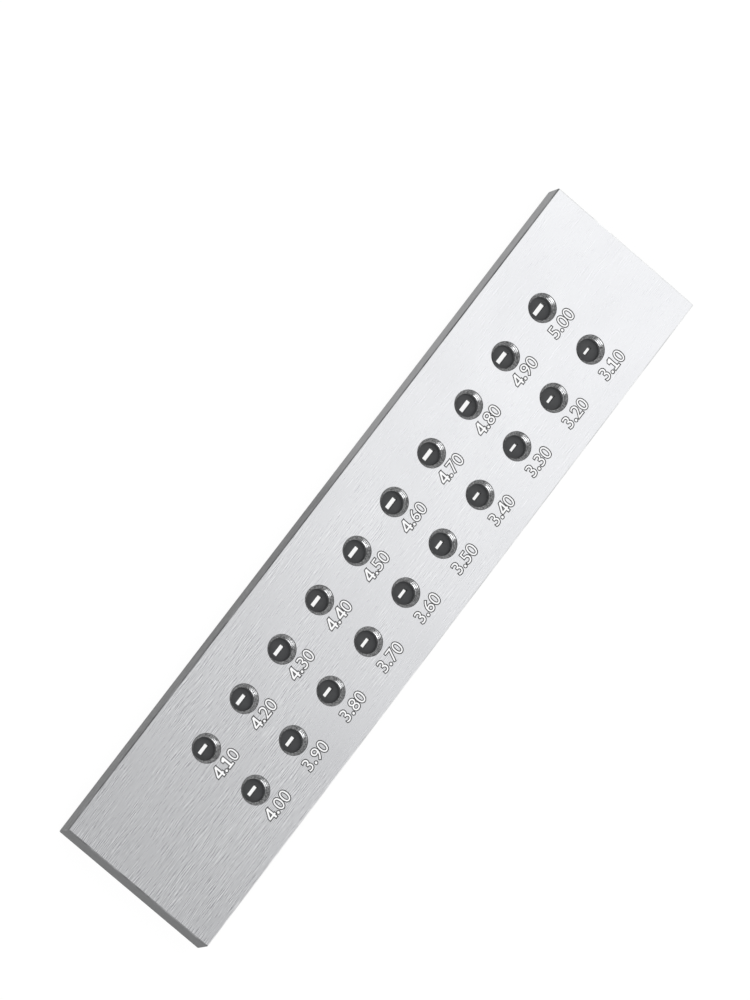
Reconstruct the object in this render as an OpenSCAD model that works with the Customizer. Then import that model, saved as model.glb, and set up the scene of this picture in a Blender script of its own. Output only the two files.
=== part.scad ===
// Wire draw plate: a flat steel plate that holds two rows of carbide dies with rectangular slots.
// Wire enters a die at the back of the plate, is sized by the slot, and leaves by the flared mouth in front.
// Lengths are in millimetres. The plate lies on its back, with +X along it and +Z out of its front.

/* [Plate] */
// Length of the plate
plate_l = 205; // [160:1:300]
// Width of the plate
plate_w = 45; // [36:1:80]
// Thickness of the plate
plate_t = 7.5; // [6:0.1:14]
// Bevel on every edge of the plate
edge_bevel = 0.3; // [0.1:0.05:1]

/* [Rows of dies] */
// Dies in each of the two rows
per_row = 10; // [2:1:12]
// Distance from the near end to the first dies
near_margin = 37.75; // [10:0.25:50]
// Distance from the last dies to the far end
far_margin = 26.4; // [10:0.1:40]
// Distance between the two rows
row_gap = 16; // [12:0.5:24]
// Distance of the middle of the two rows from the middle of the plate
row_offset = 0.5; // [0:0.1:2]

/* [Slots] */
// Size marked beside the smallest die
smallest_mark = 3.1; // [2:0.1:4]
// Step in the marked size from one die to the next
mark_step = 0.1; // [0.02:0.01:0.12]
// Long side of a slot, as a share of its marked size
long_share = 0.75; // [0.6:0.01:0.8]
// Short side of a slot, as a share of its marked size
short_share = 0.25; // [0.15:0.01:0.35]
// Length of the straight bearing that sizes the wire
bearing_l = 0.8; // [0.4:0.1:2]
// How far each side of a slot opens out from the bearing to the back, where the wire enters
entry_flare = 1; // [0.2:0.05:1.1]
// Broken edge where the wire leaves the die
exit_break = 0.1; // [0.05:0.05:0.3]

/* [Dies and seats] */
// Depth of the mouth's flare
flare_depth = 1.4; // [0.5:0.1:2]
// Length of the straight throat between a die and the flare
throat_l = 1.1; // [0.2:0.1:1.5]
// Half angle of the mouth's flare
mouth_angle = 30; // [5:0.5:40]
// Width of the widest flat wire that a mouth has room for
wire_w = 5; // [4:0.1:6.5]
// Thickness of the thickest flat wire that a mouth has room for
wire_t = 1.25; // [1:0.05:3]
// Clearance between the corners of that wire, or of the largest slot, and the throat of the mouth
throat_clearance = 0.35; // [0.1:0.05:0.6]
// Width of the shoulder between the throat and the rim of a die
shoulder_w = 0.8; // [0.6:0.1:1.5]
// Radial gap between a die and its seat, which the solder fills
seat_gap = 0.02; // [0.01:0.01:0.1]
// Depth of a die's back below the back of the plate
back_recess = 0.3; // [0.1:0.05:0.6]
// Bevel on both rims of a die
die_bevel = 0.25; // [0.1:0.05:0.4]
// Lead-in bevel at the open end of a seat
seat_lead = 0.3; // [0.1:0.05:0.6]

/* [Hidden] */
$fn = 96;
// How far a cut runs past the face that it opens
overrun = 0.5;

die_count = 2 * per_row;
die_pitch = (plate_l - near_margin - far_margin) / (per_row - 1);

// The dies are numbered from the smallest, down one row and back up the other.
function in_first_row(i) = i < per_row;
function place_in_row(i) = in_first_row(i) ? i : die_count - 1 - i;
function die_x(i) = plate_l / 2 - far_margin - die_pitch * place_in_row(i);
function die_y(i) = (in_first_row(i) ? -1 : 1) * row_gap / 2 - row_offset;
function mark(i) = smallest_mark + mark_step * i;
function slot_long(i) = long_share * mark(i);
function slot_short(i) = short_share * mark(i);

// Every die has the same outside, set by the widest wire or by the largest slot, whichever is larger.
largest_exit = [slot_long(die_count - 1), slot_short(die_count - 1)] + 2 * exit_break * [1, 1];
throat_d = max(norm([wire_w, wire_t]), norm(largest_exit)) + 2 * throat_clearance;
mouth_d = throat_d + 2 * flare_depth * tan(mouth_angle);
mouth_depth = flare_depth + throat_l;
die_d = throat_d + 2 * shoulder_w;
die_t = plate_t - mouth_depth - back_recess;
approach_l = die_t - bearing_l - exit_break;
seat_d = die_d + 2 * seat_gap;
seat_depth = plate_t - mouth_depth;

function die_name(i) = str("die_", i < 9 ? "0" : "", i + 1);

// A rectangle about the origin with its corners cut off
module bevelled_rectangle(w, h, bevel) {
    polygon([
        [w / 2 - bevel, -h / 2],
        [w / 2, -h / 2 + bevel],
        [w / 2, h / 2 - bevel],
        [w / 2 - bevel, h / 2],
        [-w / 2 + bevel, h / 2],
        [-w / 2, h / 2 - bevel],
        [-w / 2, -h / 2 + bevel],
        [-w / 2 + bevel, -h / 2]
    ]);
}

// The plate before it is drilled, with all twelve edges bevelled
module plate_blank() {
    translate([0, 0, plate_t / 2])
        intersection() {
            linear_extrude(height = plate_t, center = true)
                bevelled_rectangle(plate_l, plate_w, edge_bevel);
            rotate([90, 0, 0])
                linear_extrude(height = plate_w, center = true)
                    bevelled_rectangle(plate_l, plate_t, edge_bevel);
            rotate([90, 0, 90])
                linear_extrude(height = plate_l, center = true)
                    bevelled_rectangle(plate_w, plate_t, edge_bevel);
        }
}

// One hole through the plate: lead-in, seat, shoulder, throat and flared mouth, from the back to the front
module die_hole() {
    rotate_extrude()
        polygon([
            [0, -overrun],
            [seat_d / 2 + seat_lead + overrun, -overrun],
            [seat_d / 2, seat_lead],
            [seat_d / 2, seat_depth],
            [throat_d / 2, seat_depth],
            [throat_d / 2, seat_depth + throat_l],
            [mouth_d / 2 + overrun * tan(mouth_angle), plate_t + overrun],
            [0, plate_t + overrun]
        ]);
}

module plate() {
    color([0.86, 0.86, 0.87])
        difference() {
            plate_blank();
            for (i = [0 : die_count - 1])
                translate([die_x(i), die_y(i), 0])
                    die_hole();
        }
}

// The round outside of a die, standing on its back
module die_blank() {
    rotate_extrude()
        polygon([
            [0, 0],
            [die_d / 2 - die_bevel, 0],
            [die_d / 2, die_bevel],
            [die_d / 2, die_t - die_bevel],
            [die_d / 2 - die_bevel, die_t],
            [0, die_t]
        ]);
}

// Section of a slot across one of its sides: tapered approach, straight bearing and broken exit edge
module slot_section(side) {
    entry = side / 2 + entry_flare * (1 + overrun / approach_l);
    exit = side / 2 + exit_break + overrun;
    polygon([
        [entry, -overrun],
        [side / 2, approach_l],
        [side / 2, die_t - exit_break],
        [exit, die_t + overrun],
        [-exit, die_t + overrun],
        [-side / 2, die_t - exit_break],
        [-side / 2, approach_l],
        [-entry, -overrun]
    ]);
}

// The rectangular slot through a die, long side along X
module slot(long, short) {
    intersection() {
        rotate([90, 0, 0])
            linear_extrude(height = die_d, center = true)
                slot_section(long);
        rotate([90, 0, 90])
            linear_extrude(height = die_d, center = true)
                slot_section(short);
    }
}

module die(i) {
    color([0.27, 0.27, 0.28])
        translate([die_x(i), die_y(i), back_recess])
            difference() {
                die_blank();
                slot(slot_long(i), slot_short(i));
            }
}

plate();
for (i = [0 : die_count - 1]) {
    die(i);
}
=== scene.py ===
"""Looks of a wire draw plate: the engraved steel plate, its carbide dies, the light and the camera."""

import math

import bpy
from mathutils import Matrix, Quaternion, Vector


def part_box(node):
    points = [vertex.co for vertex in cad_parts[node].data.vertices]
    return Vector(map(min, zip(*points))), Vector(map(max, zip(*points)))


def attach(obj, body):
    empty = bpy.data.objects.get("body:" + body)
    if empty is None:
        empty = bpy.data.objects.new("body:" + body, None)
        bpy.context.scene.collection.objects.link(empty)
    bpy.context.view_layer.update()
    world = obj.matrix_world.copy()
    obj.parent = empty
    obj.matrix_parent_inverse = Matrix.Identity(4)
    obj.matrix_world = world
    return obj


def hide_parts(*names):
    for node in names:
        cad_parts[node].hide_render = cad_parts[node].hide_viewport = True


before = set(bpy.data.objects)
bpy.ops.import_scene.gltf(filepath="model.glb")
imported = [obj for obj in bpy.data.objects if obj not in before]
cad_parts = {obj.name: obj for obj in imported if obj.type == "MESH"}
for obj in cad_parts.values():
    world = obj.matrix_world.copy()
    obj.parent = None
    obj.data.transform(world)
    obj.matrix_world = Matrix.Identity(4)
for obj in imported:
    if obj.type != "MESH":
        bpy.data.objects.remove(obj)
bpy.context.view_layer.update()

# The dies in their two rows, and the sizes marked beside them
per_row = 10
die_names = [f"die_{number:02d}" for number in range(1, 2 * per_row + 1)]
smallest_mark = 3.1
mark_step = 0.1

# Sizes that the CAD model gives, in metres
mm = 0.001
plate_low, plate_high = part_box("plate")
plate_size = plate_high - plate_low
plate_middle = (plate_high + plate_low) / 2
back_level = plate_low.z
front_level = plate_high.z
die_places = [(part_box(name)[0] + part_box(name)[1]) / 2 for name in die_names]
die_front_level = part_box("die_01")[1].z
die_radius = (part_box("die_01")[1].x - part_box("die_01")[0].x) / 2

# Sizes of the plate's own details
edge_bevel = 0.3 * mm
seat_gap = 0.02 * mm
seat_lead = 0.3 * mm
shoulder_width = 0.8 * mm
throat_length = 1.1 * mm
mouth_flare = math.radians(30)
rim_break = 0.08 * mm

# Ledges that turning leaves in a mouth: their count, their share of a turn's width, the slope of the
# lowest and how much steeper each next one is
turns = 3
ledge_share = 0.88
ledge_slope = math.radians(32)
slope_step = math.radians(1.5)

# Fields that the bar is scored into before it is cut, by their reach from a row of dies
hole_reach = 4.3 * mm
short_hole_reach = 4.1 * mm
number_reach = 8.6 * mm

# Sizes of the engraved numbers, and their places from their dies
figure_em = 4.74 * mm
figure_height = 3.27 * mm
figure_stretch = 1.04
line_out = 0.21 * mm
bright_out = -0.035 * mm
line_depth = 0.12 * mm
bright_drop = 0.015 * mm
point_radius = 0.38 * mm
figure_steps = [-2.96 * mm, -1.19 * mm, 0.58 * mm, 2.96 * mm]
first_row_shift = 0.6 * mm
first_row_drop = 6.6 * mm
second_row_shift = 0.2 * mm
second_row_drop = 6.1 * mm

# Fineness and margins of the modelling
hole_sides = 96
point_sides = 24
thicken_sides = 8
least_thickening = 0.05 * mm
overrun = 0.5 * mm
merge_distance = 0.0005 * mm
level_margin = 0.01 * mm
smooth_angle = math.radians(15)

# How much of a face's normal lies along an axis, for a face that is square to it, turned to it,
# nearer to it than not, and leaning to it
square_to = 0.99
turned_to = 0.9
nearer_to = 0.5
leaning_to = 0.2

# The range that most of a grain's values lie in
grain_range = (0.3, 0.7)


# Helpers for modelling

def leave_alone():
    """Leaves nothing selected."""
    if bpy.context.mode != "OBJECT":
        bpy.ops.object.mode_set(mode="OBJECT")
    bpy.ops.object.select_all(action="DESELECT")


def take_up(piece):
    """Selects one piece alone and makes it the one that is worked on."""
    leave_alone()
    piece.select_set(True)
    bpy.context.view_layer.objects.active = piece


def settle(piece):
    """Puts a piece's place, turn and size into its mesh."""
    take_up(piece)
    bpy.ops.object.transform_apply(location=True, rotation=True, scale=True)


def open_up(piece):
    """Opens a piece's mesh for shaping, with all of it selected."""
    take_up(piece)
    bpy.ops.object.mode_set(mode="EDIT")
    bpy.ops.mesh.select_all(action="SELECT")


def put_down():
    """Ends the shaping of the mesh that is open."""
    bpy.ops.object.mode_set(mode="OBJECT")


def close_up(piece):
    """Merges a mesh's loose seams and turns its faces outwards."""
    open_up(piece)
    bpy.ops.mesh.remove_doubles(threshold=merge_distance)
    bpy.ops.mesh.normals_make_consistent(inside=False)
    put_down()


def score(point, across):
    """Scores all of the open mesh along a plane through a point."""
    bpy.ops.mesh.select_all(action="SELECT")
    bpy.ops.mesh.bisect(plane_co=point, plane_no=across)


def trim(piece, point, outward):
    """Cuts off what lies past a plane through a point and closes the cut."""
    open_up(piece)
    bpy.ops.mesh.bisect(plane_co=point, plane_no=outward, use_fill=True, clear_outer=True)
    put_down()


def pick_faces(piece, wanted):
    """Selects only those faces of the open mesh for which wanted(centre, normal) is true."""
    bpy.ops.mesh.select_all(action="DESELECT")
    bpy.ops.object.mode_set(mode="OBJECT")
    for face in piece.data.polygons:
        face.select = wanted(face.center, face.normal)
    bpy.ops.object.mode_set(mode="EDIT")


def draw_out(way):
    """Draws the selected faces of the open mesh out by a distance along each axis."""
    bpy.ops.mesh.extrude_region_move(TRANSFORM_OT_translate={"value": way})


def finish_faces(piece, finishes, choose):
    """Gives a piece its finishes, and each face the one that choose(centre, normal) names."""
    piece.data.materials.clear()
    for finish in finishes:
        piece.data.materials.append(finish)
    for face in piece.data.polygons:
        face.material_index = finishes.index(choose(face.center, face.normal))


def combine(piece, other, operation):
    """Cuts another solid out of a piece or joins it on, with its finishes, and clears the other away."""
    take_up(piece)
    change = piece.modifiers.new("change", "BOOLEAN")
    change.operation = operation
    change.solver = "MANIFOLD"
    change.material_mode = "TRANSFER"
    change.object = other
    bpy.ops.object.modifier_apply(modifier=change.name)
    bpy.data.objects.remove(other)


def copy_to(master, places):
    """Copies a shape to each place, with a mesh of its own, and clears the master away."""
    copies = []
    for place in places:
        take_up(master)
        bpy.ops.object.duplicate(linked=False)
        copies.append(bpy.context.object)
        bpy.ops.transform.translate(value=place)
    bpy.data.objects.remove(master)
    return copies


def gather(shapes):
    """Gathers separate shapes into one mesh."""
    leave_alone()
    for shape in shapes:
        shape.select_set(True)
    bpy.context.view_layer.objects.active = shapes[0]
    bpy.ops.object.join()
    settle(shapes[0])
    return shapes[0]


def model_disc(sides, radius, place):
    """A flat disc with its mesh open, ready to be drawn out into a solid."""
    leave_alone()
    bpy.ops.mesh.primitive_circle_add(vertices=sides, radius=radius, fill_type="NGON", location=place)
    disc = bpy.context.object
    settle(disc)
    open_up(disc)
    return disc


def model_bar(corner, far_corner, low, high):
    """A straight bar between two corners, from level low to level high."""
    leave_alone()
    bpy.ops.mesh.primitive_cube_add(
        size=1,
        location=((corner[0] + far_corner[0]) / 2, (corner[1] + far_corner[1]) / 2, (high + low) / 2),
        scale=(far_corner[0] - corner[0], far_corner[1] - corner[1], high - low),
    )
    bar = bpy.context.object
    settle(bar)
    return bar


# Helpers for materials

def start_material(name, metal):
    """A new material with its nodes and shader, and the place of each point on the piece."""
    material = bpy.data.materials.new(name)
    material.use_nodes = True
    tree = material.node_tree
    shader = tree.nodes["Principled BSDF"]
    shader.inputs["Metallic"].default_value = metal
    place = tree.nodes.new("ShaderNodeTexCoord").outputs["Object"]
    return material, tree, shader, place


def grain(tree, place, stretch, turn=0.0, detail=3.0, aside=0.0):
    """Noise stretched along the axes: stretch is how many grains there are to a metre each way."""
    mapping = tree.nodes.new("ShaderNodeMapping")
    mapping.inputs["Location"].default_value = (0, aside, 0)
    mapping.inputs["Rotation"].default_value = (0, 0, turn)
    mapping.inputs["Scale"].default_value = stretch
    noise = tree.nodes.new("ShaderNodeTexNoise")
    noise.inputs["Scale"].default_value = 1.0
    noise.inputs["Detail"].default_value = detail
    noise.inputs["Roughness"].default_value = 0.55
    tree.links.new(place, mapping.inputs["Vector"])
    tree.links.new(mapping.outputs["Vector"], noise.inputs["Vector"])
    return noise.outputs["Fac"]


def spread(tree, value, given, wanted):
    """Moves a value from the given range to the wanted one, and stops it at the ends."""
    node = tree.nodes.new("ShaderNodeMapRange")
    node.inputs["From Min"].default_value = given[0]
    node.inputs["From Max"].default_value = given[1]
    node.inputs["To Min"].default_value = wanted[0]
    node.inputs["To Max"].default_value = wanted[1]
    tree.links.new(value, node.inputs["Value"])
    return node.outputs["Result"]


def along(tree, place, axis, ends, wanted):
    """A value that goes over the wanted range between two ends along an axis of the piece."""
    split = tree.nodes.new("ShaderNodeSeparateXYZ")
    tree.links.new(place, split.inputs["Vector"])
    return spread(tree, split.outputs[axis], ends, wanted)


def work_out(tree, operation, first, second):
    """First and second added, multiplied and so on. Second may be a plain number."""
    node = tree.nodes.new("ShaderNodeMath")
    node.operation = operation
    tree.links.new(first, node.inputs[0])
    if isinstance(second, (int, float)):
        node.inputs[1].default_value = second
    else:
        tree.links.new(second, node.inputs[1])
    return node.outputs["Value"]


def add_up(tree, *shares):
    """The sum of some values, each times its own share."""
    parts = [work_out(tree, "MULTIPLY", value, share) for value, share in shares]
    total = parts[0]
    for part in parts[1:]:
        total = work_out(tree, "ADD", total, part)
    return total


def waver(tree, place, stretch, reach):
    """Places moved a little across the plate by slow noise, so that lines drawn on them aren't straight."""
    sway = spread(tree, grain(tree, place, stretch, detail=1.0), (0.0, 1.0), (-reach, reach))
    aside = tree.nodes.new("ShaderNodeCombineXYZ")
    tree.links.new(sway, aside.inputs["Y"])
    moved = tree.nodes.new("ShaderNodeVectorMath")
    moved.operation = "ADD"
    tree.links.new(place, moved.inputs[0])
    tree.links.new(aside.outputs["Vector"], moved.inputs[1])
    return moved.outputs["Vector"]


def brush_lines(tree, place, stretch):
    """Lines with a pale flank and a dark one, about nought: a grain less the same grain a hair aside."""
    there = grain(tree, place, stretch, detail=0.0)
    beside = grain(tree, place, stretch, detail=0.0, aside=0.9)
    return work_out(tree, "SUBTRACT", there, beside)


def paint(tree, shader, value, dark, pale):
    """Colours the surface, from dark where a value is 0 to pale where it is 1."""
    node = tree.nodes.new("ShaderNodeMix")
    node.data_type = "RGBA"
    node.inputs["A"].default_value = (*dark, 1)
    node.inputs["B"].default_value = (*pale, 1)
    tree.links.new(value, node.inputs["Factor"])
    tree.links.new(node.outputs["Result"], shader.inputs["Base Color"])


def roughen(tree, shader, value, smooth, rough, given=grain_range):
    """Makes the surface smooth where a value is low in the given range and rough where it is high."""
    tree.links.new(spread(tree, value, given, (smooth, rough)), shader.inputs["Roughness"])


def raise_grain(tree, shader, value, height, strength):
    """Lets a value stand up from the surface as fine relief."""
    bump = tree.nodes.new("ShaderNodeBump")
    bump.inputs["Distance"].default_value = height
    bump.inputs["Strength"].default_value = strength
    tree.links.new(value, bump.inputs["Height"])
    tree.links.new(bump.outputs["Normal"], shader.inputs["Normal"])


# Finishes

def brushed_face():
    """Front and back of the plate: short fine brush lines in patches, and a few stray scratches."""
    material, tree, shader, place = start_material("brushed_face", metal=1.0)
    swept = waver(tree, place, (80, 120, 80), reach=0.55 * mm)
    fine = brush_lines(tree, swept, (150, 4200, 150))
    finer = brush_lines(tree, swept, (260, 5000, 260))
    breaks = grain(tree, place, (640, 2100, 640), detail=1.0)
    lines = add_up(tree, (fine, 0.5), (finer, 0.5))
    lines = work_out(tree, "MULTIPLY", lines, spread(tree, breaks, (0.36, 0.64), (0.1, 1.7)))
    stray = grain(tree, place, (60, 3600, 60), turn=math.radians(11), detail=1.0)
    marks = work_out(tree, "ADD", lines, spread(tree, stray, (0.7, 0.76), (0.0, 0.05)))
    patches = grain(tree, place, (70, 110, 70), detail=1.0)
    marks = work_out(tree, "MULTIPLY", marks, spread(tree, patches, (0.36, 0.64), (0.3, 1.4)))
    # The lines are deep at the near end and fade out three quarters of the way along.
    fade_end = plate_low.x + 0.75 * plate_size.x
    depth = along(tree, place, "X", (plate_low.x, fade_end), (2.5, 0.5))
    clouds = grain(tree, place, (60, 90, 60), detail=1.0)
    plain_tone = 0.42
    tone = work_out(tree, "ADD", add_up(tree, (marks, depth), (clouds, 0.16)), plain_tone)
    paint(tree, shader, tone, dark=(0.331, 0.333, 0.346), pale=(0.591, 0.596, 0.605))
    roughen(tree, shader, lines, smooth=0.27, rough=0.38, given=(-0.2, 0.2))
    raise_grain(tree, shader, lines, height=0.008 * mm, strength=0.35)
    return material


def ground_shaded_edge(name, stretch, dark, pale, lit_from):
    """Sides or ends of the plate: dull, with grinding lines, dark partly as painted shade, and paler
    towards the far end as painted light.
    """
    material, tree, shader, place = start_material(name, metal=1.0)
    lines = grain(tree, place, stretch)
    clouds = grain(tree, place, (160, 160, 160))
    specks = grain(tree, place, (900, 900, 900), detail=2.0)
    mixed = add_up(tree, (lines, 0.7), (clouds, 0.1), (specks, 0.2))
    ground = spread(tree, mixed, (0.35, 0.65), (-0.1, 0.6))
    # Painted light: the colour grows paler over 16 mm towards the far end.
    lit_to = lit_from + 16 * mm
    painted_light = along(tree, place, "X", (lit_from, lit_to), (0.0, 1.0))
    tone = add_up(tree, (ground, 1.0), (painted_light, 0.6), (clouds, 0.12))
    paint(tree, shader, tone, dark, pale)
    roughen(tree, shader, lines, smooth=0.42, rough=0.58)
    raise_grain(tree, shader, lines, height=0.015 * mm, strength=0.4)
    return material


def broken_edge(name, dark, pale):
    """The narrow bevels round the plate and its mouths, rubbed brighter in places."""
    material, tree, shader, place = start_material(name, metal=1.0)
    rubbed = spread(tree, grain(tree, place, (150, 150, 150)), (0.4, 0.7), (0.0, 1.0))
    fine = grain(tree, place, (2600, 2600, 2600))
    paint(tree, shader, rubbed, dark, pale)
    roughen(tree, shader, fine, smooth=0.4, rough=0.6)
    raise_grain(tree, shader, fine, height=0.01 * mm, strength=0.3)
    return material


def turned_mouth():
    """Walls of the mouths: rough from turning, with rings round them and short chatter marks across."""
    material, tree, shader, place = start_material("turned_mouth", metal=0.3)
    rings = grain(tree, place, (90, 90, 4200), detail=2.0)
    chatter = grain(tree, place, (2400, 2400, 260), detail=2.0)
    mixed = add_up(tree, (rings, 0.5), (chatter, 0.5))
    tone = spread(tree, mixed, (0.38, 0.62), (0.0, 1.0))
    paint(tree, shader, tone, dark=(0.05, 0.051, 0.052), pale=(0.4, 0.402, 0.406))
    roughen(tree, shader, rings, smooth=0.4, rough=0.55)
    raise_grain(tree, shader, mixed, height=0.04 * mm, strength=0.5)
    return material


def burnished_ledge():
    """The narrow ledges that turning left round each mouth, one above the other, burnished bright."""
    material, tree, shader, place = start_material("burnished_ledge", metal=1.0)
    chatter = grain(tree, place, (2600, 2600, 600), detail=2.0)
    tone = spread(tree, chatter, (0.34, 0.66), (0.0, 1.0))
    paint(tree, shader, tone, dark=(0.1, 0.101, 0.103), pale=(0.37, 0.372, 0.376))
    roughen(tree, shader, chatter, smooth=0.14, rough=0.28)
    raise_grain(tree, shader, chatter, height=0.035 * mm, strength=0.5)
    return material


def dark_throat():
    """The short straight throats between the dies and the mouths: dark and not metallic, with a fine
    mottle.
    """
    material, tree, shader, place = start_material("dark_throat", metal=0.0)
    mottle = grain(tree, place, (1500, 1500, 1500))
    paint(tree, shader, mottle, dark=(0.1, 0.101, 0.104), pale=(0.2, 0.201, 0.205))
    roughen(tree, shader, mottle, smooth=0.45, rough=0.65)
    raise_grain(tree, shader, mottle, height=0.01 * mm, strength=0.3)
    return material


def bored_seat():
    """Seats behind the dies, and their lead-ins: bored steel with a dull film of solder."""
    material, tree, shader, place = start_material("bored_seat", metal=1.0)
    film = grain(tree, place, (700, 700, 700))
    rings = grain(tree, place, (120, 120, 5200), detail=2.0)
    paint(tree, shader, film, dark=(0.34, 0.338, 0.33), pale=(0.52, 0.52, 0.515))
    roughen(tree, shader, film, smooth=0.3, rough=0.5)
    raise_grain(tree, shader, rings, height=0.015 * mm, strength=0.3)
    return material


def engraved_line():
    """The dark grooves that draw the numbers."""
    material, tree, shader, place = start_material("engraved_line", metal=0.3)
    mottle = grain(tree, place, (1800, 1800, 1800))
    paint(tree, shader, mottle, dark=(0.03, 0.03, 0.031), pale=(0.09, 0.09, 0.092))
    roughen(tree, shader, mottle, smooth=0.6, rough=0.8)
    raise_grain(tree, shader, mottle, height=0.01 * mm, strength=0.4)
    return material


def bright_figure():
    """The insides of the numbers: frosted nearly white between their dark lines."""
    material, tree, shader, place = start_material("bright_figure", metal=0.0)
    frost = grain(tree, place, (3000, 3000, 3000))
    paint(tree, shader, frost, dark=(0.79, 0.792, 0.796), pale=(0.86, 0.862, 0.866))
    roughen(tree, shader, frost, smooth=0.5, rough=0.7)
    raise_grain(tree, shader, frost, height=0.006 * mm, strength=0.3)
    return material


def sintered_carbide():
    """The dies: dark grey, even and satin, with the fine pores of pressed powder."""
    material, tree, shader, place = start_material("sintered_carbide", metal=0.0)
    pores = grain(tree, place, (5200, 5200, 5200), detail=2.0)
    clouds = grain(tree, place, (420, 420, 420), detail=2.0)
    tone = spread(tree, add_up(tree, (pores, 0.5), (clouds, 0.5)), grain_range, (0.0, 1.0))
    paint(tree, shader, tone, dark=(0.036, 0.037, 0.039), pale=(0.054, 0.056, 0.059))
    roughen(tree, shader, pores, smooth=0.42, rough=0.56)
    raise_grain(tree, shader, pores, height=0.004 * mm, strength=0.3)
    shader.inputs["Specular IOR Level"].default_value = 0.35
    return material


face_finish = brushed_face()
# The sides and ends are much darker than the face, partly from their ground finish and partly as painted
# shade.
side_finish = ground_shaded_edge(
    "ground_shaded_side",
    stretch=(130, 3400, 3400),
    dark=(0.077, 0.078, 0.08),
    pale=(0.316, 0.318, 0.324),
    lit_from=4 * mm,
)
end_finish = ground_shaded_edge(
    "ground_shaded_end",
    stretch=(3400, 130, 3400),
    dark=(0.1, 0.102, 0.104),
    pale=(0.2, 0.202, 0.207),
    lit_from=0,
)
# The plate's bevels get two colours by the way they face: dark ones towards the left side and near end,
# painted shade, and pale ones elsewhere, painted light.
shaded_bevel_finish = broken_edge("shaded_bevel", dark=(0.13, 0.131, 0.134), pale=(0.27, 0.272, 0.277))
rim_finish = broken_edge("mouth_rim", dark=(0.1, 0.101, 0.104), pale=(0.24, 0.242, 0.247))
lit_bevel_finish = broken_edge("lit_bevel", dark=(0.66, 0.662, 0.668), pale=(0.9, 0.902, 0.908))
mouth_finish = turned_mouth()
ledge_finish = burnished_ledge()
throat_finish = dark_throat()
seat_finish = bored_seat()
line_finish = engraved_line()
figure_finish = bright_figure()
carbide_finish = sintered_carbide()


# The plate

def lay_out(blank):
    """Scores the bar into fields, one to each hole and to each number, so that each cut stays small."""
    columns = sorted({round(place.x, 6) for place in die_places})
    half_pitch = (columns[1] - columns[0]) / 2
    first_row = die_places[0].y
    second_row = die_places[-1].y
    across = [x + half_pitch for x in columns] + [columns[0] - half_pitch]
    lengthwise = [
        first_row - number_reach,
        first_row - hole_reach,
        first_row + hole_reach,
        second_row - short_hole_reach,
        second_row + hole_reach,
    ]
    open_up(blank)
    for x in across:
        score((x, 0, 0), (1, 0, 0))
    for y in lengthwise:
        score((0, y, 0), (0, 1, 0))
    put_down()


def model_blank():
    """The bar before it is drilled: ground flat, with every edge broken."""
    leave_alone()
    bpy.ops.mesh.primitive_cube_add(size=1, location=plate_middle, scale=plate_size)
    blank = bpy.context.object
    blank.name = "engraved_plate"
    settle(blank)
    open_up(blank)
    bpy.ops.mesh.bevel(offset=edge_bevel, segments=2, affect="EDGES")
    put_down()

    def choose(centre, normal):
        if abs(normal.z) > square_to:
            return face_finish
        if abs(normal.y) > square_to:
            return side_finish
        if abs(normal.x) > square_to:
            return end_finish
        # Bevels facing the left side or the near end take the dark colour, painted shade; the rest take the
        # pale one, painted light.
        if normal.y > leaning_to or normal.x < -leaning_to:
            return shaded_bevel_finish
        return lit_bevel_finish

    finish_faces(blank, [face_finish, side_finish, end_finish, shaded_bevel_finish, lit_bevel_finish], choose)
    lay_out(blank)
    return blank


def model_hole_tool():
    """The shape that one die's hole takes out of the plate, from the lead-in at the back to the rim."""
    seat_radius = die_radius + seat_gap
    throat_radius = die_radius - shoulder_width
    flare_level = die_front_level + throat_length
    rim_level = front_level - rim_break
    turn_rise = (rim_level - flare_level) / turns
    turn_width = turn_rise * math.tan(mouth_flare)
    ledge_width = ledge_share * turn_width
    rim_radius = throat_radius + turns * turn_width
    profile = [
        (seat_radius + seat_lead + overrun, back_level - overrun),
        (seat_radius, back_level + seat_lead),
        (seat_radius, die_front_level),
        (throat_radius, die_front_level),
        (throat_radius, flare_level),
    ]
    for turn in range(turns):
        foot_radius = throat_radius + turn * turn_width
        foot_level = flare_level + turn * turn_rise
        ledge_rise = ledge_width * math.tan(ledge_slope + turn * slope_step)
        profile.append((foot_radius + ledge_width, foot_level + ledge_rise))
        profile.append((foot_radius + turn_width, foot_level + turn_rise))
    profile.append((rim_radius + rim_break + overrun, front_level + overrun))

    radius, level = profile[0]
    tool = model_disc(hole_sides, radius, (0, 0, level))
    for next_radius, next_level in profile[1:]:
        draw_out((0, 0, next_level - level))
        growth = next_radius / radius
        bpy.ops.transform.resize(value=(growth, growth, 1), center_override=(0, 0, next_level))
        radius, level = next_radius, next_level
    put_down()
    close_up(tool)

    def choose(centre, normal):
        if centre.z > rim_level + level_margin:
            return rim_finish
        if centre.z < die_front_level + level_margin:
            return seat_finish
        if centre.z < flare_level - level_margin:
            return throat_finish
        return ledge_finish if abs(normal.z) > nearer_to else mouth_finish

    finish_faces(tool, [seat_finish, throat_finish, ledge_finish, mouth_finish, rim_finish], choose)
    return tool


# The engraved numbers

def model_sign(sign, grow, low, high):
    """A figure's solid outline from the built-in letters, grown by grow, from level low to level high."""
    leave_alone()
    bpy.ops.object.text_add(location=(0, 0, 0))
    letter = bpy.context.object
    letter.data.body = sign
    letter.data.size = figure_em
    letter.data.offset = grow
    letter.data.extrude = (high - low) / 2
    letter.data.resolution_u = 4
    letter.data.align_x = "CENTER"
    bpy.ops.object.convert(target="MESH")
    solid = bpy.context.object
    bpy.ops.transform.resize(value=(figure_stretch, 1, 1), center_override=(0, 0, 0))
    bpy.ops.transform.translate(value=(0, 0, (high + low) / 2))
    settle(solid)
    close_up(solid)
    return solid


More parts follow.
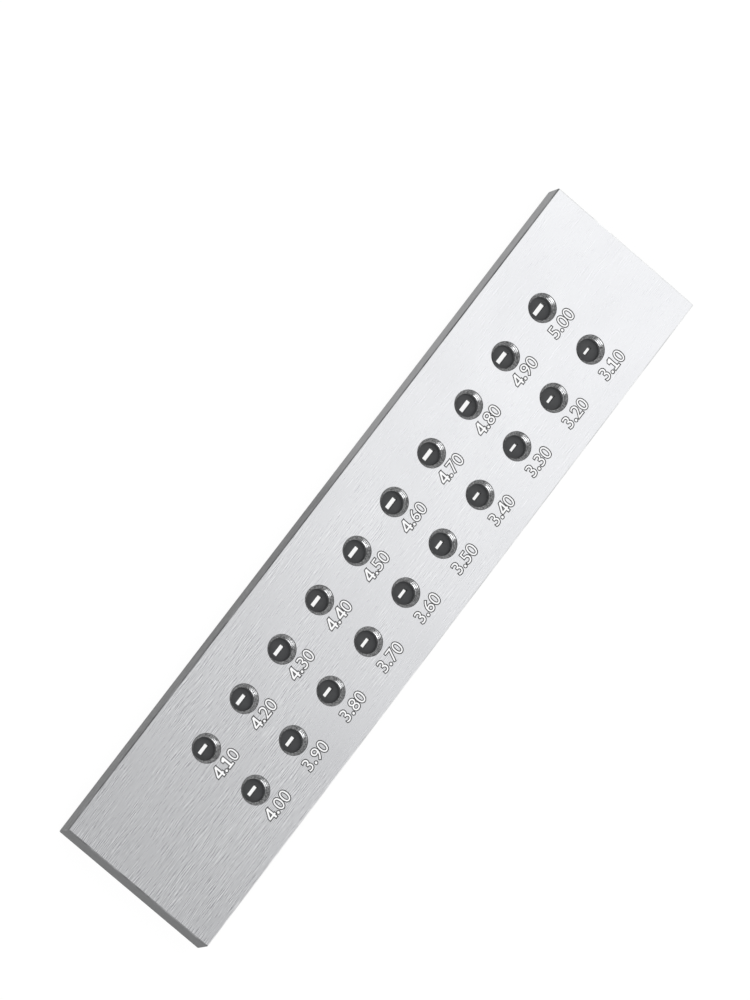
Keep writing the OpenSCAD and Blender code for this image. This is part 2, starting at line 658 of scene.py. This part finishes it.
def thicken(piece, by):
    """Draws a figure out evenly on all sides: copies set off all round it, melted into one."""
    angles = [math.tau * step / thicken_sides for step in range(thicken_sides)]
    copies = copy_to(piece, [(by * math.cos(angle), by * math.sin(angle), 0) for angle in angles])
    for other in copies[1:]:
        combine(copies[0], other, "UNION")
    settle(copies[0])
    return copies[0]


def model_bold_sign(sign, grow, low, high):
    """A figure grown by grow, half of it by its letter's own outline and half by thickening."""
    if grow < least_thickening:
        return model_sign(sign, grow, low, high)
    return thicken(model_sign(sign, grow / 2, low, high), grow / 2)


def model_one(grow, low, high):
    """The figure 1: a stem, with a foot drawn out of both its sides and a flag out of one."""
    half_stem = 0.31 * mm + grow
    foot_reach = 0.62 * mm
    foot_top = 0.5 * mm + grow
    flag_low = 2.2 * mm - grow
    flag_narrowing = 0.6
    top = figure_height + grow
    solid = model_bar((-half_stem, -grow), (half_stem, top), low, high)
    open_up(solid)
    for level in (foot_top, flag_low):
        score((0, level, 0), (0, 1, 0))
    for side in (-1, 1):
        pick_faces(solid, lambda centre, normal: normal.x * side > turned_to and centre.y < foot_top)
        draw_out((side * foot_reach, 0, 0))
    pick_faces(solid, lambda centre, normal: normal.x < -turned_to and centre.y > flag_low)
    draw_out((-foot_reach, 0, 0))
    bpy.ops.transform.resize(value=(1, flag_narrowing, 1), center_override=(0, flag_low, 0))
    put_down()
    close_up(solid)
    return solid


def model_four(grow, low, high):
    """The figure 4: an upright and a bar, and a slanting stroke trimmed to meet both."""
    top = figure_height + grow
    upright_left = 0.3 * mm - grow
    upright_right = 0.88 * mm + grow
    bar_left = -1.14 * mm - grow
    bar_right = 1.16 * mm + grow
    bar_low = 0.68 * mm - grow
    bar_high = 1.22 * mm + grow
    half_stroke = 0.265 * mm + grow
    half_slant = 3 * mm
    slant_angle = math.atan2(0.82, 0.572)
    slant_foot = (-0.83 * mm, 1.235 * mm, 0)
    slant = model_bar((-half_slant, -half_stroke), (half_slant, half_stroke), low, high)
    bpy.ops.transform.rotate(value=-slant_angle, orient_axis="Z", center_override=(0, 0, 0))
    bpy.ops.transform.translate(value=slant_foot)
    settle(slant)
    trim(slant, (0, top, 0), (0, 1, 0))
    trim(slant, (0, bar_low, 0), (0, -1, 0))
    trim(slant, (bar_left, 0, 0), (-1, 0, 0))
    close_up(slant)
    figure = model_bar((upright_left, -grow), (upright_right, top), low, high)
    combine(figure, model_bar((bar_left, bar_low), (bar_right, bar_high), low, high), "UNION")
    combine(figure, slant, "UNION")
    return figure


def model_point(grow, low, high):
    """The round point of a number, drawn up from a disc."""
    solid = model_disc(point_sides, point_radius + grow, (0, point_radius, low))
    draw_out((0, 0, high - low))
    put_down()
    close_up(solid)
    return solid


def model_figure_tool(sign):
    """What the engraver takes out for one figure: a dark line round it, and a hair's depth inside it."""
    own_shapes = {"1": model_one, "4": model_four, ".": model_point}
    shape = own_shapes.get(sign, lambda *sizes: model_bold_sign(sign, *sizes))
    tool = shape(line_out, front_level - line_depth, front_level + overrun)
    inside = shape(bright_out, front_level - line_depth - overrun, front_level - bright_drop)

    def choose(centre, normal):
        return figure_finish if normal.z > turned_to else line_finish

    finish_faces(tool, [line_finish], lambda centre, normal: line_finish)
    finish_faces(inside, [line_finish, figure_finish], choose)
    combine(tool, inside, "DIFFERENCE")
    return tool


def model_numbers(chosen):
    """The tool for the chosen figures of all the size numbers, each number beside its die."""
    spots = {}
    for order, place in enumerate(die_places):
        number = f"{smallest_mark + mark_step * order:.2f}"
        in_first_row = order < per_row
        shift = first_row_shift if in_first_row else second_row_shift
        drop = first_row_drop if in_first_row else second_row_drop
        for step in chosen:
            spot = (place.x + shift + figure_steps[step], place.y - drop - figure_height / 2, 0)
            spots.setdefault(number[step], []).append(spot)
    figures = []
    for sign in sorted(spots):
        figures += copy_to(model_figure_tool(sign), spots[sign])
    return gather(figures)


plate = model_blank()
holes = copy_to(model_hole_tool(), [(place.x, place.y, 0) for place in die_places])
combine(plate, gather(holes), "DIFFERENCE")
# Neighbouring figures touch, so every other figure of a number is cut first.
for chosen in ((0, 2), (1, 3)):
    combine(plate, model_numbers(chosen), "DIFFERENCE")
take_up(plate)
bpy.ops.object.shade_smooth_by_angle(angle=smooth_angle)
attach(plate, "root")
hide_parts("plate")

# The dies keep their CAD shape.
for name in die_names:
    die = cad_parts[name]
    die.data.materials.clear()
    die.data.materials.append(carbide_finish)


# Floor, light and camera

def lay_floor():
    """A floor that is white to the camera and in the metal, with a faint shadow, and clear from below."""
    floor_width = 8
    floor_gap = 0.3 * mm
    leave_alone()
    bpy.ops.mesh.primitive_plane_add(size=floor_width, location=(0, 0, back_level - floor_gap))
    floor = bpy.context.object
    floor.name = "floor"
    settle(floor)
    material = bpy.data.materials.new("white_floor")
    material.use_nodes = True
    tree = material.node_tree
    tree.nodes.clear()
    output = tree.nodes.new("ShaderNodeOutputMaterial")
    path = tree.nodes.new("ShaderNodeLightPath")
    seen = work_out(tree, "MAXIMUM", path.outputs["Is Camera Ray"], path.outputs["Is Glossy Ray"])
    seen = work_out(tree, "MAXIMUM", seen, path.outputs["Is Transmission Ray"])
    glow = tree.nodes.new("ShaderNodeEmission")
    glow.inputs["Color"].default_value = (1, 1, 1, 1)
    glow.inputs["Strength"].default_value = 0.94
    faint = tree.nodes.new("ShaderNodeBsdfDiffuse")
    faint.inputs["Color"].default_value = (0.07, 0.07, 0.07, 1)
    plain = tree.nodes.new("ShaderNodeBsdfDiffuse")
    plain.inputs["Color"].default_value = (0.8, 0.8, 0.8, 1)
    both = tree.nodes.new("ShaderNodeAddShader")
    tree.links.new(glow.outputs["Emission"], both.inputs[0])
    tree.links.new(faint.outputs["BSDF"], both.inputs[1])
    choice = tree.nodes.new("ShaderNodeMixShader")
    tree.links.new(seen, choice.inputs["Fac"])
    tree.links.new(plain.outputs["BSDF"], choice.inputs[1])
    tree.links.new(both.outputs["Shader"], choice.inputs[2])
    clear = tree.nodes.new("ShaderNodeBsdfTransparent")
    side = tree.nodes.new("ShaderNodeNewGeometry")
    open_below = tree.nodes.new("ShaderNodeMixShader")
    tree.links.new(side.outputs["Backfacing"], open_below.inputs["Fac"])
    tree.links.new(choice.outputs["Shader"], open_below.inputs[1])
    tree.links.new(clear.outputs["BSDF"], open_below.inputs[2])
    tree.links.new(open_below.outputs["Shader"], output.inputs["Surface"])
    floor.data.materials.append(material)


def hang_lamp(name, place, aim, size, power):
    """A soft oblong lamp that points at a spot and doesn't show itself to the camera."""
    leave_alone()
    bpy.ops.object.light_add(type="AREA", location=place)
    lamp = bpy.context.object
    lamp.name = name
    lamp.data.shape = "RECTANGLE"
    lamp.data.size, lamp.data.size_y = size
    lamp.data.energy = power
    lamp.rotation_euler = (Vector(aim) - Vector(place)).to_track_quat("-Z", "Y").to_euler()
    lamp.visible_camera = False


def light_room():
    """Even pale light from all round, a lamp over the far end, and a wide one beyond the near end."""
    world = bpy.data.worlds.new("pale_room")
    bpy.context.scene.world = world
    world.use_nodes = True
    room = world.node_tree.nodes["Background"]
    room.inputs["Color"].default_value = (1, 1, 1, 1)
    room.inputs["Strength"].default_value = 0.84
    hang_lamp("far_lamp", place=(0.295, -0.08, 0.4), aim=(0.1, 0, 0), size=(0.36, 0.4), power=0.615)
    hang_lamp("near_lamp", place=(-0.9, 0.08, 0.9), aim=(0, 0, 0), size=(0.78, 0.24), power=4.0)


def set_camera():
    """The camera stands high over the plate's near left and rolls, so that the plate rises to the right."""
    aim = Vector((10.676, 11.655, 7.5)) * mm
    distance = 2478.0 * mm
    round_angle = math.radians(145.115)
    height_angle = math.radians(70.425)
    roll = math.radians(73.873)
    away = Vector((
        math.cos(height_angle) * math.cos(round_angle),
        math.cos(height_angle) * math.sin(round_angle),
        math.sin(height_angle),
    ))
    leave_alone()
    bpy.ops.object.camera_add(location=aim + away * distance)
    camera = bpy.context.object
    camera.rotation_mode = "QUATERNION"
    camera.rotation_quaternion = (-away).to_track_quat("-Z", "Y") @ Quaternion((0, 0, 1), roll)
    camera.data.lens = 364.58
    camera.data.sensor_width = 36
    camera.data.clip_start = 0.1
    camera.data.clip_end = 20
    bpy.context.scene.camera = camera


lay_floor()
light_room()
set_camera()
bpy.context.scene.view_settings.view_transform = "Standard"
